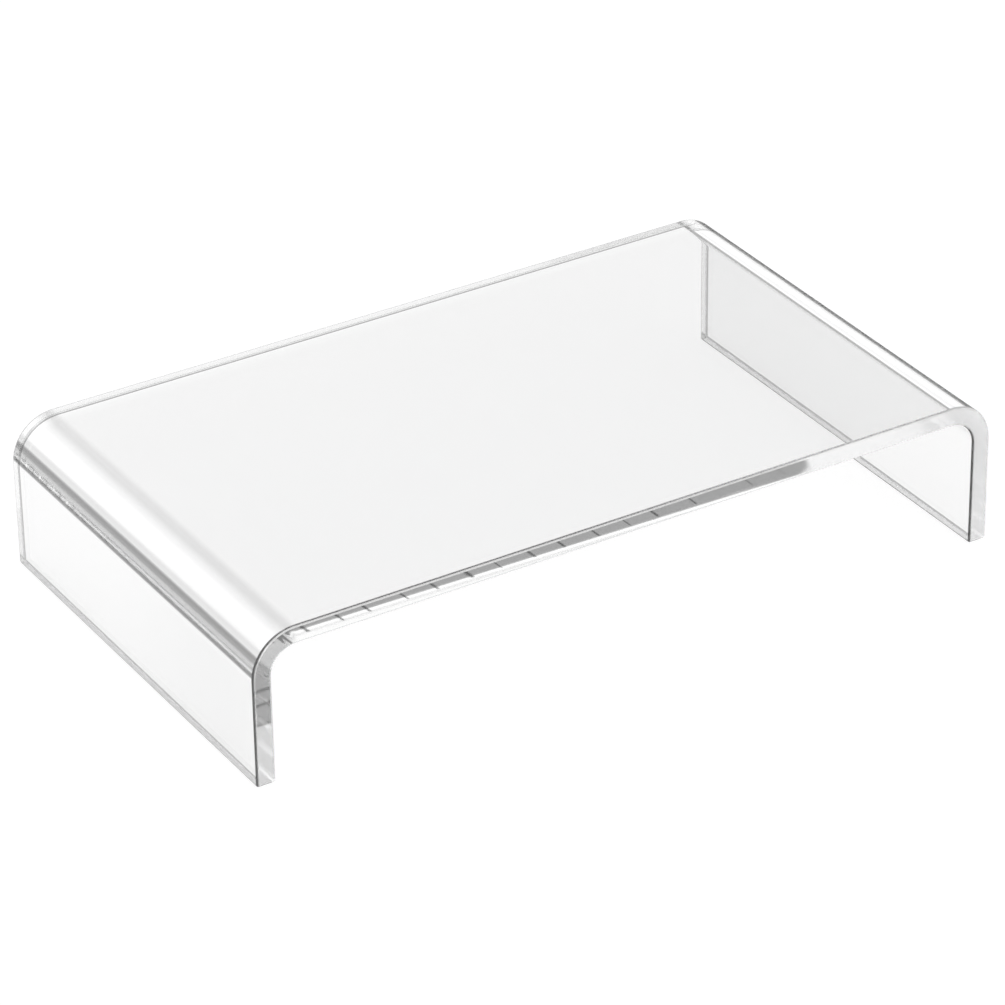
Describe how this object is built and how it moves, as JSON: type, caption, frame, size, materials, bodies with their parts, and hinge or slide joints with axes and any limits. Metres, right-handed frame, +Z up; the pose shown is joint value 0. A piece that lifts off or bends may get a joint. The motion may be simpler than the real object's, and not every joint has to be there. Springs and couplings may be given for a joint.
{
  "type": "monitor riser stand",
  "caption": "Low wide bridge bent from a single clear acrylic sheet, which lifts a monitor above a desk and leaves an open bay beneath it.",
  "frame": {"origin": "middle of the footprint, on the surface that the two feet rest on", "axes": "+X along the width, +Y towards the back, +Z up"},
  "size_m": [0.5, 0.29, 0.097],
  "materials": {
    "clear_acrylic": "polished"
  },
  "bodies": {
    "root": {"riser_sheet": "clear_acrylic"}
  },
  "joints": []
}
